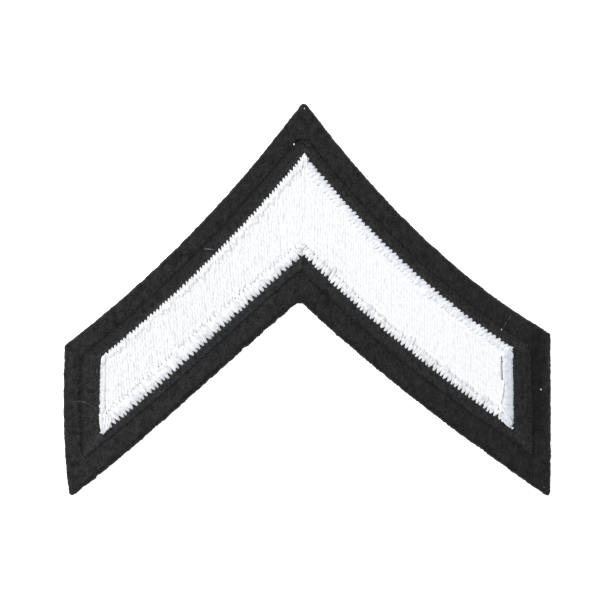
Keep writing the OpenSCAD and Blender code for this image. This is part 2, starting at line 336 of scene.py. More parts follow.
def closed_line(line, more=0.0):
    """A whole line of the design: six edges with equal steps, and a quadratic curve round each corner."""
    meets = [crossing(edge, line, more) for edge in range(EDGES)]
    lengths = np.linalg.norm(np.roll(CORNERS, -1, 0) - CORNERS, axis=1)
    s = (np.arange(CORNER_PARTS) + 1)[:, None] / (CORNER_PARTS + 1)
    runs = []
    for edge in range(EDGES):
        after = (edge + 1) % EDGES
        start = meets[edge - 1][1] + CORNER_ROUND * ROUNDING_SHARES[edge][line] / lengths[edge]
        cut_back = CORNER_ROUND * ROUNDING_SHARES[after][line]
        stop = meets[edge][0] - cut_back / lengths[edge]
        first = edge_point(edge, line, stop, more)
        tip = edge_point(edge, line, meets[edge][0], more)
        last = edge_point(after, line, meets[edge][1] + cut_back / lengths[after], more)
        runs.append(edge_point(edge, line, np.linspace(start, stop, EDGE_PARTS[edge] + 1), more))
        runs.append(first * (1 - s) ** 2 + tip * 2 * s * (1 - s) + last * s ** 2)
    return np.concatenate(runs)


def middle_of(ring):
    """Middle of the box round a ring of points."""
    return (ring.min(0) + ring.max(0)) / 2


CENTRE = middle_of(closed_line(CUT))


def outline(line, more=0.0):
    """A closed line of the design in the part's own place."""
    return closed_line(line, more) - CENTRE


def corner_middle(edge):
    """Number of the ring's point halfway round the corner after an edge."""
    return int(RUN_STARTS[edge % EDGES]) + EDGE_PARTS[edge % EDGES] + (CORNER_PARTS + 1) // 2


def edge_range(edge):
    """Numbers of the ring's points from the corner before an edge to the corner after it."""
    first, last = corner_middle(edge - 1), corner_middle(edge)
    return np.arange(first - RING * (first > last), last + 1) % RING


# Surfaces

def ripple(points, size, seed, waves=40):
    """Smooth random relief of spread one: a sum of sine waves of random heading and phase, whose
    lengths lie about size."""
    rng = np.random.default_rng(seed)
    heading = unit(rng.normal(size=(waves, points.shape[-1])))
    length = size * rng.uniform(0.7, 1.5, waves)
    phase = rng.uniform(0, 2 * np.pi, waves)
    total = np.zeros(points.shape[:-1])
    for k in range(waves):
        total += np.sin(points @ heading[k] * (2 * np.pi / length[k]) + phase[k])
    return total * math.sqrt(2 / waves)


def bell(distance, reach):
    """Share that falls from one at no distance: the exponential of minus the square of their ratio."""
    return np.exp(-(distance / reach) ** 2)


def smooth_step(x):
    """3x^2 - 2x^3 of x held between 0 and 1."""
    x = np.clip(x, 0, 1)
    return x * x * (3 - 2 * x)


def at_height(plan, height):
    """A ring in plan laid at a height, which is one number or one for each point."""
    return np.concatenate([plan, np.broadcast_to(height, RING)[:, None]], 1)


def grid_faces(rows, columns):
    """Four-cornered faces between the closed rows of a grid."""
    i, j = np.divmod(np.arange((rows - 1) * columns), columns)
    n = (j + 1) % columns
    return np.stack([i * columns + j, i * columns + n, (i + 1) * columns + n, (i + 1) * columns + j], -1)


def arm_faces(first):
    """Faces across a ring of the design, seen from above: strips that join each arm's upper side to
    its lower side, and a fan at each end."""
    fans = []
    point, notch = corner_middle(UPPER_RIGHT), corner_middle(LOWER_LEFT)
    j = np.arange(EDGE_PARTS[UPPER_LEFT] + CORNER_PARTS + 1)
    quads = np.concatenate([
        np.stack([point + j, point + j + 1, notch - j - 1, notch - j], -1),
        np.stack([point - j, notch + j, notch + j + 1, point - j - 1], -1),
    ])
    for edge in (LEFT_END, RIGHT_END):
        around = edge_range(edge)
        fans.append(np.stack([np.full(len(around) - 2, around[0]), around[1:-1], around[2:]], -1))
    return first + quads % RING, first + np.concatenate(fans)


def shell_faces(rows):
    """Faces of a closed stack of rings: between them, across the last one, and across the first one,
    which faces down."""
    quads, fans = arm_faces((rows - 1) * RING)
    under_quads, under_fans = arm_faces(0)
    return [
        np.concatenate([grid_faces(rows, RING), quads, under_quads[:, ::-1]]),
        np.concatenate([fans, under_fans[:, ::-1]]),
    ]


def make_piece(name, points, faces, uv=None, crease=None, **marks):
    """A piece from points in mm and arrays of face corners, with smooth faces but for edges that turn by
    more than the crease. uv holds a pair for each face corner; each mark is a number for each point,
    which the materials read by its name."""
    mesh = bpy.data.meshes.new(name)
    counts = np.concatenate([np.full(len(f), f.shape[1]) for f in faces])
    corners = np.concatenate([f.ravel() for f in faces]).astype(np.int32)
    mesh.vertices.add(len(points))
    mesh.vertices.foreach_set("co", (points * MM).astype(np.float32).ravel())
    mesh.loops.add(len(corners))
    mesh.loops.foreach_set("vertex_index", corners)
    mesh.polygons.add(len(counts))
    mesh.polygons.foreach_set("loop_start", (np.cumsum(counts) - counts).astype(np.int32))
    mesh.polygons.foreach_set("use_smooth", np.ones(len(counts), bool))
    mesh.update(calc_edges=True)
    if crease:
        mesh.set_sharp_from_angle(angle=crease)
    if uv is not None:
        mesh.uv_layers.new(name="thread").data.foreach_set("uv", uv.astype(np.float32).ravel())
    for mark, values in marks.items():
        mesh.attributes.new(mark, "FLOAT", "POINT").data.foreach_set("value", values.astype(np.float32))
    if mesh.validate():
        raise ValueError(f"{name} has faces that Blender can't keep")
    piece = bpy.data.objects.new(name, mesh)
    bpy.context.scene.collection.objects.link(piece)
    return piece


def tubes(paths, width, height, sides, flat=1.0):
    """Closed tubes along many paths at once: round each point p of a path the surface is
    p + across cos(a)^flat width/2 + up sin(a) height/2, where across is level and square to the heading
    and up is square to both; flat is a number or one for each path. A pole closes each end. Returns
    points, faces and the corners' uv: share round the thread, and millimetres along it."""
    count, steps, _ = paths.shape
    ends, spot = [0, -1], np.arange(sides)
    heading = unit(np.gradient(paths, axis=1))
    level = unit(np.stack([-heading[..., 1], heading[..., 0], np.zeros((count, steps))], -1))
    up = np.cross(heading, level)
    a = 2 * np.pi * spot / sides
    across = np.sign(np.cos(a)) * np.abs(np.cos(a)) ** np.reshape(flat, (-1, 1))
    ring = (
        paths[:, :, None]
        + level[:, :, None] * (across[:, None, :, None] * width[:, :, None, None] / 2)
        + up[:, :, None] * (np.sin(a)[:, None] * height[:, :, None, None] / 2)
    )
    past = np.array([-POLE_OUT, POLE_OUT])[:, None]
    poles = paths[:, ends] + heading[:, ends] * height[:, ends, None] * past
    points = np.concatenate([ring.reshape(count, -1, 3), poles], 1).reshape(-1, 3)

    each = steps * sides + 2
    after, last = (spot + 1) % sides, (steps - 1) * sides
    caps = np.concatenate([
        np.stack([np.full(sides, each - 2), after, spot], -1),
        np.stack([np.full(sides, each - 1), last + spot, last + after], -1),
    ])
    offset = (np.arange(count) * each)[:, None, None]
    faces = [(offset + grid_faces(steps, sides)).reshape(-1, 4), (offset + caps).reshape(-1, 3)]

    runs = np.linalg.norm(np.diff(paths, axis=1), axis=-1)
    along = np.concatenate([np.zeros((count, 1)), np.cumsum(runs, 1)], 1)
    i, j = np.divmod(np.arange((steps - 1) * sides), sides)
    turn = np.stack([j, j + 1, j + 1, j], -1) / sides
    reach = along[:, np.stack([i, i, i + 1, i + 1], -1)]
    cap_turn = np.tile(np.stack([spot + 0.5, spot + 1, spot], -1) / sides, (2, 1))
    cap_reach = np.repeat(along[:, ends], sides, 1)[..., None] * np.ones(3)
    uv = [
        np.stack([np.broadcast_to(turns, reaches.shape), reaches], -1).reshape(-1, 2)
        for turns, reaches in ((turn, reach), (cap_turn, cap_reach))
    ]
    return points, faces, uv


def along_tubes(values, sides):
    """A number for each step of many tubes, laid on their points."""
    return np.concatenate([np.repeat(values, sides, 1), values[:, [0, -1]]], 1).ravel()


def per_tube(values, made):
    """A number for each of many tubes, laid on their points."""
    return np.repeat(values, len(made[0]) // len(values))


def joined(parts):
    """Several (points, faces, uv) sets as one, each set's faces moved past the points before it."""
    points, quads, tris, quad_uv, tri_uv, first = [], [], [], [], [], 0
    for part_points, part_faces, part_uv in parts:
        points.append(part_points)
        for faces, uv in zip(part_faces, part_uv):
            kind, kind_uv = (quads, quad_uv) if faces.shape[1] == 4 else (tris, tri_uv)
            kind.append(faces + first)
            kind_uv.append(uv)
        first += len(part_points)
    faces = [np.concatenate(quads), np.concatenate(tris)]
    return np.concatenate(points), faces, np.concatenate(quad_uv + tri_uv)


def spread_over(values):
    """A value for each edge laid over the ring's points, and blended past the corners by a running
    mean."""
    laid = np.zeros(RING)
    for edge in range(EDGES):
        laid[edge_range(edge)] = values[edge]
    around = np.concatenate([laid[-BLEND:], laid, laid[:BLEND]])
    return np.convolve(around, np.ones(BLEND) / BLEND, "same")[BLEND:-BLEND]


def distance_to(points, ring):
    """Distance of each plane point to the nearest point of a ring, worked out in twelve lots to spare
    memory."""
    flat = points.reshape(-1, 2)
    found = np.concatenate([
        np.sqrt(((part[:, None] - ring[None]) ** 2).sum(-1).min(1)) for part in np.array_split(flat, 12)])
    return found.reshape(points.shape[:-1])


def inside(points, ring):
    """Whether plane points lie inside a ring: a run to the right crosses it an odd number of times."""
    after = np.roll(ring, -1, 0)
    x, y = points[..., 0, None], points[..., 1, None]
    spans = (ring[:, 1] > y) != (after[:, 1] > y)
    rise = np.where(after[:, 1] == ring[:, 1], TINY, after[:, 1] - ring[:, 1])
    slope = (after[:, 0] - ring[:, 0]) / rise
    return (spans & (x < ring[:, 0] + (y - ring[:, 1]) * slope)).sum(-1) % 2 == 1


# Stitches

def cuts(start, way, ring):
    """Distances at which straight runs from start along way first and next cross a closed ring."""
    side = np.roll(ring, -1, 0) - ring
    gap = ring[None] - start[:, None]
    spread = cross2(way[:, None], side[None])
    spread = np.where(np.abs(spread) < TINY, TINY, spread)
    far = cross2(gap, side[None]) / spread
    share = cross2(gap, way[:, None]) / spread
    met = np.sort(np.where((share >= 0) & (share < 1) & (far > 0), far, np.inf), axis=1)
    return met[:, 0], met[:, 1]


def turned(way, angle):
    """Plane directions turned counter-clockwise by an angle."""
    cos, sin = np.cos(angle), np.sin(angle)
    return np.stack([way[:, 0] * cos - way[:, 1] * sin, way[:, 0] * sin + way[:, 1] * cos], -1)


def zigzag(line, pitches, turns, tuck, shortest, strays, hole_strays, rng):
    """Outer and inner ends of a satin band's zigzag stitches, and the edge that each belongs to. Edge by
    edge the needle goes down every pitch along the outer line, and from each hole a straight run goes in,
    turned from square by the edge's turn, which blends over TURN_REACH into the turns at its corners. The
    inner holes lie halfway between the runs' inner ends and stray inwards, so each outer hole
    holds two stitches that part towards the inside. What lies beyond the corner joints is cut off."""
    outer, inner = outline(line), outline(line + 1, tuck)
    ends, owners = [], []
    for edge in range(EDGES):
        around = edge_range(edge)
        panel = np.concatenate([outer[around], inner[around][::-1]])
        length = np.linalg.norm(CORNERS[(edge + 1) % EDGES] - CORNERS[edge])
        over = OVERRUN / length
        t = np.linspace(-over, 1 + over, int(round(length * (1 + 2 * over) / pitches[edge])) + 1)
        t = t + rng.normal(0, strays[edge] / length, len(t))
        start = edge_point(edge, line, t) - CENTRE
        way = unit(edge_point(edge, line, t, 1.0) - CENTRE - start)
        first, along, last = turns[edge]
        near_start = bell(np.clip(t, 0, 1) * length, TURN_REACH)
        near_end = bell((1 - np.clip(t, 0, 1)) * length, TURN_REACH)
        turn = along + (first - along) * near_start + (last - along) * near_end
        way = turned(way, np.radians(turn + rng.normal(0, TURN_SPREAD, len(t))))
        outside = start - way * SET_BACK
        near, far = cuts(outside, way, panel)
        kept = np.isfinite(far) & (far > near + shortest)
        way, outside, near, far = way[kept], outside[kept], near[kept, None], far[kept, None]
        holes_out, holes_in = outside + way * near, outside + way * far
        astray = np.abs(rng.normal(0, hole_strays[edge], (len(way), 1)))
        on_line = distance_to(holes_in, inner) < ON_LINE
        between = (holes_in[1:] + holes_in[:-1]) / 2 + (way * astray * on_line[:, None])[1:]
        before = np.concatenate([2 * holes_in[:1] - between[:1], between])
        after = np.concatenate([between, 2 * holes_in[-1:] - between[-1:]])
        ends += [np.stack([holes_out, before], 1), np.stack([holes_out, after], 1)]
        owners += [np.full(2 * len(holes_out), edge)]
    return np.concatenate(ends), np.concatenate(owners)


def sunk(distance, drop, reach):
    """How far a band of stitching lies below its crest at a distance from its side: the drop times the
    square of the share of its reach that is left."""
    return drop * np.clip(1 - distance / reach, 0, 1) ** 2


def satin_paths(ends, crest, sides, drops, steps, sway, uneven, rng):
    """Paths of satin stitches and the distance along each: straight in plan but for a small sway, and in
    height the crest less what both sides have sunk, with steps spaced as the cosine of an even angle.
    drops holds each stitch's share of the drop at its outer and inner end, and uneven is the spread of
    their crests, a number or one for each."""
    a = np.linspace(0, np.pi, steps)
    share = (1 - np.cos(a)) / 2
    run = ends[:, 1] - ends[:, 0]
    length = np.linalg.norm(run, axis=-1)[:, None]
    side = unit(np.stack([-run[:, 1], run[:, 0]], -1))
    plan = ends[:, :1] + run[:, None] * share[:, None]
    plan = plan + side[:, None] * (rng.normal(0, sway, (len(ends), 1)) * np.sin(a))[..., None]
    along = length * share
    height = crest + rng.normal(0, 1, (len(ends), 1)) * uneven
    for reached, (drop, reach), part in zip((along, length - along), sides, drops):
        height = height - sunk(reached, drop * part[:, None], reach)
    return np.concatenate([plan, height[..., None]], -1), along, length


def band_padding(line, start, stop, crest, sides, base, first_share, ledge=None):
    """The padding under a satin band: rings from the line moved in by start to the next line moved in by
    stop, a number or one for each point, as high as the band's crest less what both sides have sunk and
    PADDING_CLEAR, closed by a ring at each side on the felt. first_share is the outer ring's share of
    the height above the felt, and a ledge of that width and height may reach in under the next band."""
    outer, inner = outline(line), outline(line + 1)
    low = outline(line, start)
    far = outline(line + 1, 1.0) - inner
    high = inner + far * np.reshape(stop, (-1, 1))
    rings = [at_height(low, base)]
    for share in PADDING_STEPS:
        plan = low + (high - low) * share
        height = crest - PADDING_CLEAR - sunk(distance_to(plan, outer), *sides[0])
        height = height - sunk(distance_to(plan, inner), *sides[1])
        if share == 0.0:
            height = base + (height - base) * first_share
        rings.append(at_height(plan, height))
    if ledge:
        rings.append(at_height(high, ledge[1]))
        high = high + far * ledge[0]
        rings.append(at_height(high, ledge[1]))
    rings.append(at_height(high, base))
    last = (len(rings) - 1) * RING
    j = np.arange(RING)
    n = (j + 1) % RING
    quads = np.concatenate([grid_faces(len(rings), RING), np.stack([last + j, last + n, n, j], -1)])
    faces = [quads, np.zeros((0, 3), int)]
    return np.concatenate(rings), faces, [np.zeros((f.size, 2)) for f in faces]


def curved(rows, steps, height, arch):
    """Paths of loose threads: for each row the parabola through its start, middle and end in plan, on a
    height, with a sine arch over it."""
    t = np.linspace(0, 1, steps)[:, None]
    plan = through((rows[:, None, 0:2], rows[:, None, 2:4], rows[:, None, 4:6]), t)
    rise = height(plan) + arch * np.sin(np.pi * t[:, 0])
    return np.concatenate([plan, rise[..., None]], -1)


def rounded_ends(steps, blunt):
    """Shares of a loose thread's thickness at its steps: the root of a sine that stays over blunt."""
    return np.sqrt(np.sin(np.pi * np.linspace(0, 1, steps)).clip(blunt))


def along_each(number, along, seed):
    """Smooth random relief along many threads that differs from one to the next: ripple over each
    thread's number and the length along it."""
    number = np.broadcast_to(np.reshape(number, (-1, 1)), along.shape)
    return ripple(np.stack([number, along], -1), 2.0, seed)


def black_height(plan):
    """Height of the black parts at places in plan: the felt's, or the black border's inside its line."""
    black = outline(BLACK)
    over = BORDER_CREST + 0.03 - sunk(distance_to(plan, black), *BORDER_SIDES[0])
    return np.where(inside(plan, black), over, FELT_T)


def slit_share(y):
    """How far the slit at the right end stands open at a height."""
    return smooth_step((y - SLIT_LOW) / SLIT_CLOSES) * smooth_step((SLIT_TOP - y) / SLIT_CLOSES)


def slit_opening():
    """Share by which the slit at the right end stands open, point by point."""
    return slit_share(outline(FILLING)[:, 1]) * (np.arange(RING)[:, None] == edge_range(RIGHT_END)).any(1)


def joint_openings():
    """Share by which the joint round the filling stands open, point by point."""
    return np.maximum(spread_over(GAPE), slit_opening())


# Materials

def add_node(tree, kind, inputs=None, **settings):
    """A shader node with its settings; an input that is given as a socket is linked to it."""
    made = tree.nodes.new(kind)
    for key, value in settings.items():
        setattr(made, key, value)
    for key, value in (inputs or {}).items():
        if isinstance(value, bpy.types.NodeSocket):
            tree.links.new(value, made.inputs[key])
        else:
            made.inputs[key].default_value = value
    return made


def new_material(name, **shader):
    """A material with one Principled shader whose plain numbers are set on its own sockets."""
    material = bpy.data.materials.new(name)
    material.use_nodes = True
    tree = material.node_tree
    tree.nodes.clear()
    surface = add_node(tree, "ShaderNodeBsdfPrincipled", {k.replace("_", " "): v for k, v in shader.items()})
    output = add_node(tree, "ShaderNodeOutputMaterial")
    tree.links.new(surface.outputs["BSDF"], output.inputs["Surface"])
    return material, tree, surface


def weighed(tree, base, *parts):
    """A number plus sockets times their weights."""
    total = base
    for socket, weight in parts:
        added = add_node(tree, "ShaderNodeMath", {0: socket, 1: weight, 2: total}, operation="MULTIPLY_ADD")
        total = added.outputs[0]
    return total


def product(tree, *factors):
    """Sockets multiplied together."""
    total = factors[0]
    for factor in factors[1:]:
        total = add_node(tree, "ShaderNodeMath", {0: total, 1: factor}, operation="MULTIPLY").outputs[0]
    return total


def paint(tree, surface, colour, brightness):
    """Sets the shader's colour: a colour, fixed or from a socket, times a brightness."""
    tinted = add_node(tree, "ShaderNodeVectorMath", {0: colour, "Scale": brightness}, operation="SCALE")
    tree.links.new(tinted.outputs[0], surface.inputs["Base Color"])


def mark(tree, name):
    """A number that each point of the piece carries."""
    return add_node(tree, "ShaderNodeAttribute", attribute_name=name).outputs["Fac"]


def noise(tree, place, scale, detail=2.0, roughness=0.5, distortion=0.0):
    """Noise between 0 and 1 with features of about 1/scale."""
    return add_node(tree, "ShaderNodeTexNoise", {
        "Vector": place, "Scale": scale, "Detail": detail, "Roughness": roughness,
        "Distortion": distortion}).outputs["Fac"]


def slanting(tree, place, degrees, squeeze):
    """A place turned by minus the degrees and squeezed along its y, which draws noise out into strokes."""
    return add_node(tree, "ShaderNodeMapping", {
        "Vector": place, "Rotation": (0.0, 0.0, math.radians(-degrees)),
        "Scale": (1.0, squeeze, 1.0)}).outputs["Vector"]


def bumped(tree, surface, strength, distance, height):
    """Gives the shader a bump of a strength and a distance from a height."""
    bump = add_node(tree, "ShaderNodeBump", {"Strength": strength, "Distance": distance, "Height": height})
    tree.links.new(bump.outputs["Normal"], surface.inputs["Normal"])


def felt_material(colours):
    """Matt wool felt: blotches, specks and slanting strokes of fibre vary its brightness, which each
    point's own mark scales."""
    material, tree, surface = new_material(
        "black_wool_felt", Roughness=0.95, Specular_IOR_Level=0.12, Sheen_Weight=0.1, Sheen_Roughness=0.6)
    place = add_node(tree, "ShaderNodeTexCoord").outputs["Object"]
    blotch = noise(tree, place, 900.0, 3.0, 0.65)
    speck = noise(tree, place, 4200.0)
    stroke = noise(tree, slanting(tree, place, 20, 0.3), 2600.0, 3.0, 0.6, 0.5)
    mottle = weighed(tree, 1 - 3.5, (blotch, 2.4), (speck, 2.8), (stroke, 1.8))
    held = add_node(tree, "ShaderNodeClamp", {"Value": mottle, "Min": 0.25, "Max": 2.4}).outputs[0]
    paint(tree, surface, tuple(colours.felt), product(tree, held, mark(tree, "tone")))
    bumped(tree, surface, 0.8, 0.00012, weighed(tree, 0.0, (stroke, 0.5), (speck, 0.5)))
    return material


def thread_material(name, colour, cool_shadow_colour, lay, ply_shade, fleck_shade, grain, **shader):
    """Embroidery thread of two plies: a sine of the turn round the thread and the length along it, which
    repeats each lay, raises the plies by bump and darkens the groove between them as painted shade. Stretched
    noise paints shade into short strokes where threads part. A mark of each point gives the share of both,
    and another draws its colour to the cool colour of painted shadow. Noise and the thread's own tone vary
    its brightness."""
    material, tree, surface = new_material(name, **shader)
    thread_map = add_node(tree, "ShaderNodeUVMap", uv_map="thread").outputs[0]
    turn, along, _ = add_node(tree, "ShaderNodeSeparateXYZ", {0: thread_map}).outputs
    wind = weighed(tree, 0.0, (turn, 4 * np.pi), (along, 2 * np.pi / lay))
    ply = add_node(tree, "ShaderNodeMath", {0: wind}, operation="SINE").outputs[0]
    place = add_node(tree, "ShaderNodeTexCoord").outputs["Object"]
    hairs = noise(tree, place, 14000.0)
    patch = noise(tree, place, 1500.0, 3.0, 0.6)
    speck = noise(tree, place, 4500.0)
    groove = add_node(tree, "ShaderNodeMapRange", {
        "Value": ply, "From Min": 0.1, "From Max": 1.0, "To Min": 0.0, "To Max": ply_shade}).outputs["Result"]
    fleck = add_node(tree, "ShaderNodeMapRange", {
        "Value": noise(tree, slanting(tree, place, 5, 0.28), 4200.0, 1.0),
        "From Min": 0.52, "From Max": 0.72, "To Min": 0.0, "To Max": fleck_shade}).outputs["Result"]
    share = mark(tree, "plies")
    shaded = weighed(tree, 1.0, (product(tree, groove, share), -1.0), (product(tree, fleck, share), -1.0))
    mottle = weighed(tree, 1 - grain, (patch, grain), (speck, grain))
    tint = add_node(tree, "ShaderNodeMixRGB", {0: mark(tree, "cool"), 1: (*colour, 1), 2: (*cool_shadow_colour, 1)})
    paint(tree, surface, tint.outputs[0], product(tree, shaded, mottle, mark(tree, "tone")))
    raised = weighed(tree, 0.0, (hairs, 0.5), (product(tree, ply, share), -1.5))
    bumped(tree, surface, 0.5, 0.00004, raised)
    return material


# Sizes and colours

class PatchFelt(PropertyGroup):
    """Sizes of the felt's surface and cut edge."""
    edge_roll: FloatProperty(
        name="Edge roll", description="Width over which the cut edge rounds down",
        default=0.00055, min=0.0001, max=0.0015, subtype="DISTANCE", precision=5)
    edge_wander: FloatProperty(
        name="Edge wander", description="How far the cut edge strays from its line",
        default=0.000012, min=0.0, max=0.0004, subtype="DISTANCE", precision=5)
    relief: FloatProperty(
        name="Relief", description="Height of the felt's soft unevenness",
        default=0.00003, min=0.0, max=0.0002, subtype="DISTANCE", precision=5)
    fibres: IntProperty(
        name="Fibres", description="Number of loose fibres on the felt", default=5000, min=0, max=6000)
    fibre_length: FloatProperty(
        name="Fibre length", description="Middling length of a loose fibre",
        default=0.0007, min=0.0002, max=0.003, subtype="DISTANCE", precision=5)


class PatchStitching(PropertyGroup):
    """Sizes of the threads and how close they lie."""
    black_pitch: FloatProperty(
        name="Black pitch", description="Distance from one black stitch to the next",
        default=0.00023, min=0.00015, max=0.001, subtype="DISTANCE", precision=5)
    edging_spacing: FloatProperty(
        name="Edging spacing", description="Distance between the edging's needle holes, as a share",
        default=1.0, min=0.7, max=1.5, subtype="FACTOR")
    filling_pitch: FloatProperty(
        name="Filling pitch", description="Distance between the upright threads of the filling",
        default=0.0004, min=0.0003, max=0.001, subtype="DISTANCE", precision=5)
    edging_spread: FloatProperty(
        name="Edging spread", description="Width of the edging's threads, as a share",
        default=1.0, min=0.6, max=1.5, subtype="FACTOR")
    thread_w: FloatProperty(
        name="Filling thread width", description="Width of a thread of the filling where it lies flat",
        default=0.00046, min=0.0002, max=0.0008, subtype="DISTANCE", precision=5)
    unevenness: FloatProperty(
        name="Unevenness", description="How unevenly the filling's threads lie, as a share",
        default=1.0, min=0.0, max=2.0, subtype="FACTOR")


class PatchColours(PropertyGroup):
    """Colours of the felt and the threads."""
    felt: FloatVectorProperty(
        name="Felt", description="Colour of the felt", subtype="COLOR", size=3,
        default=(0.0175, 0.0178, 0.0178), min=0, max=1)
    black_thread: FloatVectorProperty(
        name="Black thread", description="Colour of the black stitching", subtype="COLOR", size=3,
        default=(0.0246, 0.0248, 0.0259), min=0, max=1)
    white_thread: FloatVectorProperty(
        name="White thread", description="Colour of the white stitching", subtype="COLOR", size=3,
        default=(0.757, 0.766, 0.783), min=0, max=1)
    # The cool colour is painted shadow, to which the white stitching is drawn on the edges that face away
    # from the light
    cool_shadow_thread: FloatVectorProperty(
        name="Cool thread", description="Colour of the white stitching where it lies greyest",
        subtype="COLOR", size=3, default=(0.722, 0.764, 0.837), min=0, max=1)


class PatchStage(PropertyGroup):
    """Light and floor."""
    sky: FloatProperty(
        name="Sky", description="Strength of the light from all round", default=0.62, min=0, max=5)
    key: FloatProperty(
        name="Key light", description="Power of the soft light from the upper left",
        default=3.8, min=0, max=100, unit="POWER")
    sky_colour: FloatVectorProperty(
        name="Sky colour", description="Colour of the light from all round", subtype="COLOR", size=3,
        default=(0.96, 0.985, 1.03), min=0, max=2)
    key_colour: FloatVectorProperty(
        name="Key colour", description="Colour of the soft light from the upper left",
        subtype="COLOR", size=3, default=(1.0, 0.975, 0.93), min=0, max=2)
    floor: FloatVectorProperty(
        name="Floor", description="Colour of the floor", subtype="COLOR", size=3,
        default=(0.93, 0.93, 0.93), min=0, max=1)
    floor_glow: FloatProperty(
        name="Floor glow", description="Light that the floor gives off, as a light table does",
        default=0.85, min=0, max=5)


# Pieces

def border_ends(stitching):
    """Ends of the black border's stitches, seeded the same for the felt's holes and the stitches."""
    pitches = np.full(EDGES, 2 * stitching.black_pitch / MM)
    return zigzag(
        BLACK, pitches, BORDER_TURNS, BORDER_TUCK, shortest=0.3, strays=0.05 * pitches,
        hole_strays=np.zeros(EDGES), rng=np.random.default_rng(11))


def edging_ends(stitching):
    """Ends of the white edging's stitches, two from each needle hole."""
    pitches = HOLE_STEP * stitching.edging_spacing
    return zigzag(
        WHITE, pitches, EDGING_TURNS, EDGING_TUCK, shortest=0.5, strays=0.11 * pitches,
        hole_strays=HOLE_STRAY, rng=np.random.default_rng(12))


def felt_grid(felt):
    """Grid of the felt's closed surface in rings: out along the back, up the cut edge, which rolls over
    by a power curve, and in along the face, down into the crevice and under the stitching. Returns the
    grid, for each point its distance in from the cut line and out from the black line, and the cut
    line's outward directions."""
    cut, black, white = outline(CUT), outline(BLACK), outline(WHITE)
    tangent = unit(np.roll(cut, -1, 0) - np.roll(cut, 1, 0))
    outward = np.stack([tangent[:, 1], -tangent[:, 0]], -1)
    margin = np.linalg.norm(black - cut, axis=1)
    wander = felt.edge_wander / MM * (ripple(cut, 2.5, 1) + ripple(cut, 0.9, 2)) * spread_over(CUT_ROUGHNESS)
    wander = wander + spread_over(CUT_OUT)
    roll = felt.edge_roll / MM
    deep = CREVICE_D * np.maximum(spread_over(CREVICE_LIE[:, 0]), CREVICE_LEAST)
    rings = [at_height(cut + (black - cut) * share, 0.0) for share in BACK_SHARES]
    rings += [at_height(cut + outward * wander[:, None], height) for height in WALL_HEIGHTS]
    for turn in np.linspace(0.0, 1.0, ROLL_STEPS):
        plan = cut + outward * (wander * (1 - WANDER_LOST * turn))[:, None]
        plan = plan + (black - cut) / margin[:, None] * roll * turn
        rings.append(at_height(plan, FELT_T - ROLL_H * (1 - turn) ** ROLL_POWER))
    start = (roll / margin)[:, None]
    for k in (np.arange(FACE_STEPS) + 1) / FACE_STEPS:
        share = start + (1 - start) * k
        dip = deep * bell((1 - share[:, 0]) * margin, CREVICE_REACH)
        plan = cut + (black - cut) * share + outward * (wander * (1 - WANDER_LOST) * (1 - k))[:, None]
        rings.append(at_height(plan, FELT_T - dip))
    rings += [at_height(black + (white - black) * share, FELT_T - drop) for share, drop in UNDER_STEPS]
    grid = np.stack(rings)
    from_cut = np.linalg.norm(grid[..., :2] - cut, axis=-1)
    from_black = np.linalg.norm(grid[..., :2] - black, axis=-1)
    return grid, from_cut, from_black, outward


def felt_tones(grid, from_cut, from_black, pits):
    """Brightness of the felt's points in shares of its colour, painted light and shade: it falls from left to
    right as painted light falling off, in the crevice and the needle holes as painted shade, beside the right
    end as a painted shadow and along the lower cut edges as painted shade, where painted shade spots lie
    behind the rim, and rises behind the rim at the left as a painted highlight."""
    x, y = grid[..., 0], grid[..., 1]
    uneven = 0.7 + 0.4 * ripple(outline(BLACK), 1.2, 61)
    # Painted light falling off to the right, and painted light and shade on each side
    tones = FELT_TONE - FELT_LIGHT_FALLOFF * x + spread_over(FELT_SHADES)
    # Painted shade in the crevice and in the needle holes
    tones = tones - 0.3 * spread_over(CREVICE_LIE[:, 0]) * uneven * bell(from_black, 0.4)
    tones = tones - 0.5 * spread_over(CREVICE_LIE[:, 1]) * pits
    # Painted shadow beside the right end, on the felt's face only
    beside = np.exp(-((x - END_X) / END_W) ** 4)
    shaded = beside * smooth_step((y - END_LOW) / 3) * smooth_step((END_TOP - y) / 4)
    tones = tones - END_PAINTED_SHADOW * shaded * (grid[..., 2] > FELT_T / 2)
    # Painted shade along the rim, painted light at the right end
    tones = tones * (1 - spread_over(RIM_PAINTED_SHADES) * bell(from_cut, 0.5))
    # Painted shade spots behind the rim
    spots = 0.3 + 0.5 * smooth_step((ripple(grid[..., :2], 0.8, 62) + 0.5) / 2)
    tones = tones * (1 - spread_over(RIM_SHADE_SPOTS) * spots * bell(from_cut - 0.85, 0.45))
    # Painted highlight behind the rim on the sides that face the light
    return tones + 0.08 * spread_over(RIM_PAINTED_GLEAMS) * bell(from_cut - 0.6, 0.4)


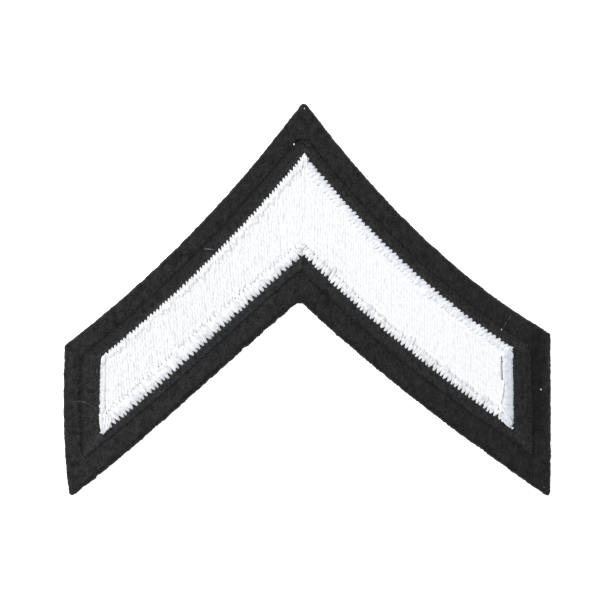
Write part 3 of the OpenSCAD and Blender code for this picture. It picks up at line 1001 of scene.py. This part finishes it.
class PATCH_OT_felt(Operator):
    """Makes the felt, with its cut edge, crevice and needle holes"""
    bl_idname = "patch.felt"
    bl_label = "Felt"

    def execute(self, context):
        felt, stitching = context.scene.patch_felt, context.scene.patch_stitching
        grid, from_cut, from_black, outward = felt_grid(felt)
        face = grid[FACE_START:UNDER_START]
        soft = ripple(face[..., :2], 1.5, 3) + 0.6 * ripple(face[..., :2], 0.7, 4)
        face[..., 2] += felt.relief / MM * soft
        ends, owners = border_ends(stitching)
        ends[:, 0] -= HOLE_OUT * unit(ends[:, 1] - ends[:, 0])
        # The first half of an edge's stitches holds each needle hole once, and every second one shows
        sides = [ends[owners == edge, 0] for edge in range(EDGES)]
        holes = np.concatenate([side[:len(side) // 2:2] for side in sides])
        pits = np.zeros(grid.shape[:2])
        for row in range(FACE_START + FACE_STEPS // 2, FELT_ROWS):
            gap = grid[row, :, None, :2] - holes[None]
            pits[row] = np.exp(-(gap ** 2).sum(-1) / HOLE_R ** 2).sum(1).clip(0, 1)
        tones = felt_tones(grid, from_cut, from_black, pits)
        grid[..., 2] -= HOLE_DEPTH * pits * spread_over(CREVICE_LIE[:, 1])
        wall = slice(len(BACK_SHARES), FACE_START - 3)
        tufts = 0.012 + 0.02 * spread_over(TUFTS)
        grid[wall, :, :2] += outward * (tufts * ripple(grid[wall], 0.5, 5))[..., None]
        piece = make_piece("felt", grid.reshape(-1, 3), shell_faces(FELT_ROWS), tone=tones.ravel())
        piece.data.materials.append(felt_material(context.scene.patch_colours))
        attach(piece, "root")
        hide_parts("ground_cloth")
        return {"FINISHED"}


def fibre_tubes(grid, outward, count, length, rng):
    """Loose fibres, and whether each grows from the rim: from points of the face or the rim they run
    off at an angle to the edge, bend sideways and droop by the square of the share along them."""
    rim = rng.random(count) < RIM_FIBRES
    rim_rows, face_rows = (
        rng.integers(*span, count) for span in ((ROLL_START, FACE_START), (FACE_START, UNDER_START)))
    rows = np.where(rim, rim_rows, face_rows)
    columns = rng.integers(0, RING, count)
    root = grid[rows, columns]
    out3 = np.concatenate([outward[columns], np.zeros((count, 1))], 1)
    along = np.stack([-out3[:, 1], out3[:, 0], np.zeros(count)], -1)
    angle = rng.uniform(0, 2 * np.pi, count)
    heading = along * np.cos(angle)[:, None] + out3 * (np.sin(angle) * np.where(rim, 0.6, 1))[:, None]
    heading[:, 2] += rng.uniform(0.02, 0.25, count)
    heading = unit(heading)
    side = unit(np.cross(heading, rng.normal(size=(count, 3))))
    length = length * rng.lognormal(0, 0.35, count) * np.where(rim, 0.45, 1)
    u = np.linspace(0, 1, FIBRE_STEPS)[:, None]
    curl = rng.normal(0, FIBRE_CURL, (count, 1, 1))
    paths = root[:, None] + length[:, None, None] * (heading[:, None] * u + side[:, None] * curl * u ** 2)
    paths[..., 2] -= (FIBRE_DROOP * length[:, None, None] * u ** 2)[..., 0]
    paths[..., 2] = paths[..., 2].clip(FIBRE_LOWEST)
    thick = rng.uniform(*FIBRE_W, (count, 1)) * (1 - FIBRE_TAPER * u[:, 0])
    return tubes(paths, thick, thick, 3), rim


class PATCH_OT_fuzz(Operator):
    """Makes the loose fibres of the felt, and the hairs, specks and curls that lie on it"""
    bl_idname = "patch.fuzz"
    bl_label = "Felt fibres"

    def execute(self, context):
        felt = context.scene.patch_felt
        grid, _, _, outward = felt_grid(felt)
        rng = np.random.default_rng(21)
        fuzz, rim = fibre_tubes(grid, outward, felt.fibres, felt.fibre_length / MM, rng)
        thick = LOOSE_HAIRS[:, 6:7] * rounded_ends(HAIR_STEPS, 0.02)
        lying = curved(LOOSE_HAIRS, HAIR_STEPS, lambda plan: black_height(plan) + 0.04, arch=0.03)
        hairs = tubes(lying, thick, thick * 0.7, SIDES)
        points, faces, uv = joined([fuzz, hairs])
        tone = np.concatenate([
            per_tube(rng.uniform(0.7, np.where(rim, 1.2, 2.0)), fuzz), per_tube(LOOSE_HAIRS[:, 7], hairs)])
        piece = make_piece("felt_fibres", points, faces, uv, tone=tone)
        piece.data.materials.append(bpy.data.materials["black_wool_felt"])
        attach(piece, "root")
        return {"FINISHED"}


class PATCH_OT_border(Operator):
    """Makes the black satin stitches round the chevron, over their padding"""
    bl_idname = "patch.border"
    bl_label = "Black border"

    def execute(self, context):
        stitching, colours = context.scene.patch_stitching, context.scene.patch_colours
        rng = np.random.default_rng(31)
        ends, owners = border_ends(stitching)
        count = len(ends)
        lines = outline(BLACK), outline(BLACK + 1, BORDER_TUCK)
        drops = [np.where(distance_to(ends[:, k], lines[k]) < BLACK_ON_LINE, 1, 0.1) for k in (0, 1)]
        paths, along, length = satin_paths(
            ends, BORDER_CREST, BORDER_SIDES, drops, steps=8, sway=0.03, uneven=0.006, rng=rng)
        own = rng.normal(1, 0.1, (count, 1))
        width = stitching.black_pitch / MM * BLACK_OVERLAP * own * np.ones_like(along)
        threads = tubes(paths, width, BLACK_THREAD_H * own * np.ones_like(along), SIDES)
        pad = band_padding(
            BLACK, start=0.06, stop=BORDER_TUCK, crest=BORDER_CREST, sides=BORDER_SIDES,
            base=FELT_T - 0.25, first_share=0.6)
        points, faces, uv = joined([threads, pad])
        shade, lost, reach = BLACK_LIE[owners].T[..., None]
        # Painted shade at the outer ends, and painted light at the inner ends that lifts the shade beside the
        # white edging
        painted_light_and_shade = 1 - lost * bell(along, reach) + 0.4 * bell(length - along, 0.6)
        tone = np.concatenate([
            along_tubes(painted_light_and_shade * shade * rng.normal(1, 0.03, (count, 1)), SIDES), np.full(len(pad[0]), 0.95)])
        plies = np.full(len(points), 0.5)
        piece = make_piece("black_border", points, faces, uv, THREAD_CREASE, tone=tone, plies=plies)
        piece.data.materials.append(thread_material(
            "black_embroidery_thread", colours.black_thread, colours.black_thread,
            lay=0.9, ply_shade=0.2, fleck_shade=0.8, grain=1.9,
            Roughness=0.6, Specular_IOR_Level=0.08, Sheen_Weight=0.03, Sheen_Roughness=0.4))
        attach(piece, "root")
        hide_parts("black_border")
        return {"FINISHED"}


def edging_threads(stitching, ends, owners, rng):
    """The edging's threads with, for each of their steps, the distance along them, and their lengths:
    teeth reach out by a random share, the crest sinks at the sides, and the width narrows by smooth
    steps to its tooth outside and to its neck inside."""
    count = len(ends)
    way = unit(ends[:, 1] - ends[:, 0])
    near_line = [distance_to(ends[:, k], outline(WHITE + k, k * EDGING_TUCK)) for k in (0, 1)]
    at_edge, at_field = near_line[0] < WHITE_ON_LINE, near_line[1] < WHITE_ON_LINE + 3 * HOLE_STRAY[owners]
    ends[:, 0] += way * ((rng.normal(0, 0.13, count) * TOOTH[owners] - REACH[owners]) * at_edge)[:, None]
    ends[:, 1, 0] -= 0.15 * slit_share(ends[:, 1, 1]) * (owners == RIGHT_END)
    drops = [np.where(at_edge, 1, 0.1), np.where(at_field, DIP[owners], 0.05)]
    sides = [EDGING_SIDE, (1.0, DIP_REACH[owners, None])]
    paths, along, length = satin_paths(
        ends, EDGING_CREST, sides, drops, steps=11, sway=0.02, uneven=0.07 * THREAD_H[owners, None], rng=rng)
    tip = np.where(at_edge, TIP_SHARE[owners], 0.8)[:, None]
    neck = np.where(at_field, NECK[owners], 0.9)[:, None]
    narrow = (tip + (1 - tip) * smooth_step(along / TOOTH[owners, None])) * (
        neck + (1 - neck) * smooth_step((length - along) / NECK_REACH))
    width = THREAD_W[owners, None] * stitching.edging_spread * rng.normal(1, 0.08, (count, 1)) * narrow
    height = THREAD_H[owners, None] * (0.5 + 0.5 * narrow)
    smooth = np.isin(owners, (LEFT_END, RIGHT_END, UPPER_RIGHT))
    return tubes(paths, width, height, SIDES, np.where(smooth, 0.35, 0.6)), along, length


def edging_brightness(owners, along, length, rng):
    """Brightness of the edging's threads at each step: its edge's own, which holds painted shade, times one
    plus a random share, less painted shade outside, plus painted light inside, and less on darker stretches."""
    brightness = SHADE[owners] * (1 + rng.normal(0, 1, len(owners)) * SPREAD[owners])
    brightness = brightness[:, None] * (
        1 - OUTER_PAINTED_SHADE[owners, None] * bell(along, 0.45) + INNER_PAINTED_LIGHT[owners, None] * bell(length - along, 0.6))
    number = APART * np.arange(len(owners))
    stretches = smooth_step(along_each(number, along * 2.6, 42) - 0.2)
    return brightness * (1 - 0.24 * FLECKS[owners, None] * stretches)


class PATCH_OT_edging(Operator):
    """Makes the white zigzag stitches that edge the chevron, over their padding"""
    bl_idname = "patch.edging"
    bl_label = "White edging"

    def execute(self, context):
        stitching, colours = context.scene.patch_stitching, context.scene.patch_colours
        rng = np.random.default_rng(41)
        ends, owners = edging_ends(stitching)
        threads, along, length = edging_threads(stitching, ends, owners, rng)
        rounded = rounded_ends(LOOSE_STEPS, 0.05)
        lying = curved(
            LOOSE_THREADS, LOOSE_STEPS, lambda plan: np.full(plan.shape[:-1], EDGING_CREST - 0.06), arch=0.08)
        loose_h = 0.2 * rounded * np.ones((len(LOOSE_THREADS), 1))
        loose = tubes(lying, LOOSE_THREADS[:, 6:7] * rounded, loose_h, SIDES)
        gape = joint_openings()
        pad = band_padding(
            WHITE, start=0.3, stop=-OPEN_JOINT * gape, crest=EDGING_CREST,
            sides=[EDGING_SIDE, (spread_over(DIP), spread_over(DIP_REACH))],
            base=FELT_T + PADDING_CLEAR, first_share=1.0,
            ledge=(2 * OPEN_JOINT, FIELD_CREST - 0.06 - 0.36 * gape))
        points, faces, uv = joined([threads, loose, pad])
        rows = len(pad[0]) // RING
        # Painted shade on the padding that shows in the gaps between the threads
        pad_tone = np.tile(spread_over(PAD_SHADES), (rows, 1))
        # Darker padding in the slit: the black felt below and painted shade
        pad_tone[-4:] *= 1 - SLIT_SHADE * slit_opening()
        loose_cool = np.where(LOOSE_THREADS[:, 0] > LOOSE_COOL_X, SHADOW_COOLNESS[RIGHT_END], LOOSE_COOLNESS)
        tone = np.concatenate([
            along_tubes(edging_brightness(owners, along, length, rng), SIDES),
            per_tube(1.13 * LOOSE_THREADS[:, 7], loose), pad_tone.ravel()])
        plies = np.concatenate([
            per_tube(0.35 * FLECKS[owners], threads), np.full(len(loose[0]), 0.5), np.zeros(len(pad[0]))])
        cool = np.concatenate([
            per_tube(SHADOW_COOLNESS[owners], threads), per_tube(loose_cool, loose),
            np.tile(spread_over(SHADOW_COOLNESS), rows)])
        marks = {"tone": tone, "plies": plies, "cool": cool}
        piece = make_piece("white_edging", points, faces, uv, THREAD_CREASE, **marks)
        piece.data.materials.append(thread_material(
            "white_embroidery_thread", colours.white_thread, colours.cool_shadow_thread,
            lay=1.0, ply_shade=0.08, fleck_shade=0.35, grain=0.35,
            Roughness=0.5, Specular_IOR_Level=0.35, Sheen_Weight=0.1, Sheen_Roughness=0.3))
        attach(piece, "root")
        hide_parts("white_edging")
        return {"FINISHED"}


def filling_padding():
    """The padding under the filling: four rings, on the felt, up at its rim, which stands back where the
    joint with the edging is open, and two further in, closed across. Its rim is darker in the slit, for the
    black felt below and painted shade there."""
    ring, gape = outline(FILLING), joint_openings()
    inward = outline(FILLING, 1.0) - ring
    rim = ring + inward * (OPEN_JOINT * gape)[:, None]
    rings = [
        at_height(rim, FELT_T + PADDING_CLEAR),
        at_height(rim, FIELD_CREST - 0.05 - 0.11 * gape),
        at_height(ring + inward * 0.5, FIELD_CREST - 0.05),
        at_height(ring + inward, FIELD_CREST - 0.03),
    ]
    faces = shell_faces(len(rings))
    pad = (np.concatenate(rings), faces, [np.zeros((f.size, 2)) for f in faces])
    # Darker rim in the slit: the black felt below and painted shade
    dark_rim = np.concatenate([np.tile(SLIT_SHADE * slit_opening(), 2), np.zeros(2 * RING)])
    return pad, 1.1 * (1 - dark_rim)


def filling_threads(stitching, rng):
    """The filling's threads and how rough each lies, which falls from left to right. Each runs from the
    lower line to the upper one and on under the edging, with its steps closer at both ends. In plan it
    leans a little on the left half, sways with its neighbours and on its own, is pushed aside by the
    edging's needle holes and stands back from the left end and the slit. Its crest sinks at its ends."""
    uneven = stitching.unevenness
    ring = outline(FILLING)
    upper = np.concatenate([ring[edge_range(UPPER_RIGHT)], ring[edge_range(UPPER_LEFT)]])[::-1]
    lower = np.concatenate([ring[edge_range(LOWER_LEFT)], ring[edge_range(LOWER_RIGHT)]])
    left, right = ring[:, 0].min() + 0.1, ring[:, 0].max()
    count = int(round((right - left) / (stitching.filling_pitch / MM)))
    x = left + (right - left) * (np.arange(count) + 0.5) / count
    rough = 1 - 0.6 * smooth_step((x + 25) / 50)
    slant = rng.normal(0, 0.004, count) * rough
    slant = slant - FIELD_LEAN * smooth_step(-x / 6) * smooth_step((x - left) / 2.5)
    half = 0
    for _ in range(2):
        top = np.interp(x + slant * half, upper[:, 0], upper[:, 1])
        low = np.interp(x - slant * half, lower[:, 0], lower[:, 1])
        half = (top - low) / 2
    even = np.linspace(0, 1, FIELD_STEPS)
    share = 0.6 * even + 0.4 * (1 - np.cos(np.pi * even)) / 2
    y = (low - FIELD_TUCK)[:, None] + (top - low + 2 * FIELD_TUCK)[:, None] * share
    x, top, low, slant, coarse = (values[:, None] for values in (x, top, low, slant, rough))

    number = APART * np.arange(count)
    sway = 0.04 * along_each(x * 1.2, y * 0.3, 52)
    own = 0.024 * along_each(number, y * 1.2, 53) * (0.6 + 0.4 * coarse)
    plan_x = x + rng.normal(0, 0.012, (count, 1)) + (sway + own + slant * (y - (top + low) / 2)) * uneven
    ends, owners = edging_ends(stitching)
    holes = ends[owners == LOWER_LEFT, 1]
    away = plan_x[..., None] - holes[:, 0]
    beside = np.exp(-np.abs(away) / 0.25 - ((y[..., None] - holes[:, 1]) / 0.3) ** 2)
    plan_x = plan_x + HOLE_PUSH * (np.tanh(away / 0.06) * beside).sum(-1)
    groove = GROOVE_SHARE + GROOVE_MORE * bell(y - GROOVE_Y, GROOVE_REACH)
    plan_x = plan_x + LEFT_GROOVE * np.exp(-(x - left) / GROOVE_W) * groove
    plan_x = plan_x - SLIT_W * slit_share(y) * np.exp(-(right - x) / 0.9)

    lift = 0.016 * along_each(number, y * 1.0, 54) * coarse * uneven
    dip = 0.02 + 0.1 * smooth_step(-x / 2)
    tucked = np.clip(-np.minimum(y - low, top - y) / FIELD_TUCK, 0, 1)
    z = FIELD_CREST + lift - sunk((y - low).clip(0), dip, 0.5) - 0.1 * tucked
    width = stitching.thread_w / MM * rng.normal(1, 0.03, (count, 1)) * (
        1.22 - 0.08 * coarse + (0.09 * coarse - 0.01) * uneven * along_each(number + 3, y * 2.8, 55))
    width *= 1 - 0.4 * smooth_step(-x / 2) * bell(y - low - 0.15, 0.45)
    height = np.full_like(width, 0.06) + 0.06 * coarse
    return tubes(np.stack([plan_x, y, z], -1), width, height, SIDES), rough


class PATCH_OT_filling(Operator):
    """Makes the long upright stitches inside the edging, over their padding"""
    bl_idname = "patch.filling"
    bl_label = "White filling"

    def execute(self, context):
        rng = np.random.default_rng(51)
        threads, rough = filling_threads(context.scene.patch_stitching, rng)
        pad, pad_tone = filling_padding()
        points, faces, uv = joined([threads, pad])
        shades = 1.2 - 0.055 * rough + rng.normal(0, 0.012, len(rough)) * rough
        tone = np.concatenate([per_tube(shades, threads), pad_tone])
        plies = np.concatenate([per_tube(0.5 * rough, threads), np.zeros(len(pad[0]))])
        piece = make_piece("white_field", points, faces, uv, THREAD_CREASE, tone=tone, plies=plies)
        piece.data.materials.append(bpy.data.materials["white_embroidery_thread"])
        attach(piece, "root")
        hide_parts("white_field")
        return {"FINISHED"}


class PATCH_OT_stage(Operator):
    """Sets the floor, the soft light and the camera straight above"""
    bl_idname = "patch.stage"
    bl_label = "Stage"

    def execute(self, context):
        scene, stage = context.scene, context.scene.patch_stage
        corners = np.array([[-1, -1], [1, -1], [1, 1], [-1, 1]]) * FLOOR_HALF
        corners = np.concatenate([corners, np.full((4, 1), -FLOOR_DROP)], 1)
        floor = make_piece("floor", corners, [np.array([[0, 1, 2, 3]])])
        material, _, surface = new_material(
            "pale_floor", Roughness=0.9, Specular_IOR_Level=0.1, Emission_Strength=stage.floor_glow)
        surface.inputs["Base Color"].default_value = (*stage.floor, 1)
        surface.inputs["Emission Color"].default_value = (1, 1, 1, 1)
        floor.data.materials.append(material)

        world = bpy.data.worlds.new("soft_sky")
        world.use_nodes = True
        world.node_tree.nodes["Background"].inputs["Color"].default_value = (*stage.sky_colour, 1)
        world.node_tree.nodes["Background"].inputs["Strength"].default_value = stage.sky
        scene.world = world

        key = bpy.data.lights.new("key", "AREA")
        key.shape, key.size, key.energy, key.color = "SQUARE", KEY_SIDE, stage.key, stage.key_colour
        lamp = bpy.data.objects.new("key", key)
        lamp.location = KEY_AT
        lamp.rotation_euler = (-lamp.location).to_track_quat("-Z", "Y").to_euler()
        scene.collection.objects.link(lamp)

        camera = bpy.data.cameras.new("camera")
        camera.sensor_width, camera.lens = SENSOR_W, SENSOR_W * EYE_H / VIEW_W
        camera.clip_start, camera.clip_end = 0.1, 20.0
        eye = bpy.data.objects.new("camera", camera)
        eye.location = (*EYE_AT, EYE_H + FELT_T * MM)
        scene.collection.objects.link(eye)
        scene.camera = eye
        scene.view_settings.view_transform = "Standard"
        return {"FINISHED"}


class PATCH_PT_sidebar(Panel):
    """Lists the patch's sizes, colours and pieces"""
    bl_idname = "PATCH_PT_sidebar"
    bl_label = "Rank chevron patch"
    bl_space_type = "VIEW_3D"
    bl_region_type = "UI"
    bl_category = "Patch"

    def draw(self, context):
        for name in GROUPS:
            group = getattr(context.scene, name)
            box = self.layout.box()
            for prop in group.__annotations__:
                box.prop(group, prop)
        for operator in PIECES:
            self.layout.operator(operator.bl_idname)


GROUPS = {
    "patch_felt": PatchFelt,
    "patch_stitching": PatchStitching,
    "patch_colours": PatchColours,
    "patch_stage": PatchStage,
}
PIECES = [PATCH_OT_felt, PATCH_OT_fuzz, PATCH_OT_border, PATCH_OT_edging, PATCH_OT_filling, PATCH_OT_stage]
CLASSES = [*GROUPS.values(), *PIECES, PATCH_PT_sidebar]


def register():
    """Registers the classes and hangs each group of properties on the scene."""
    for item in CLASSES:
        bpy.utils.register_class(item)
    for name, group in GROUPS.items():
        setattr(bpy.types.Scene, name, PointerProperty(type=group))


def unregister():
    """Takes the groups off the scene and the classes back, last one first."""
    for name in GROUPS:
        delattr(bpy.types.Scene, name)
    for item in reversed(CLASSES):
        bpy.utils.unregister_class(item)


def main():
    """Makes the whole patch and its stage."""
    register()
    for operator in PIECES:
        getattr(bpy.ops.patch, operator.bl_idname.split(".")[1])()


if __name__ == "__main__":
    main()
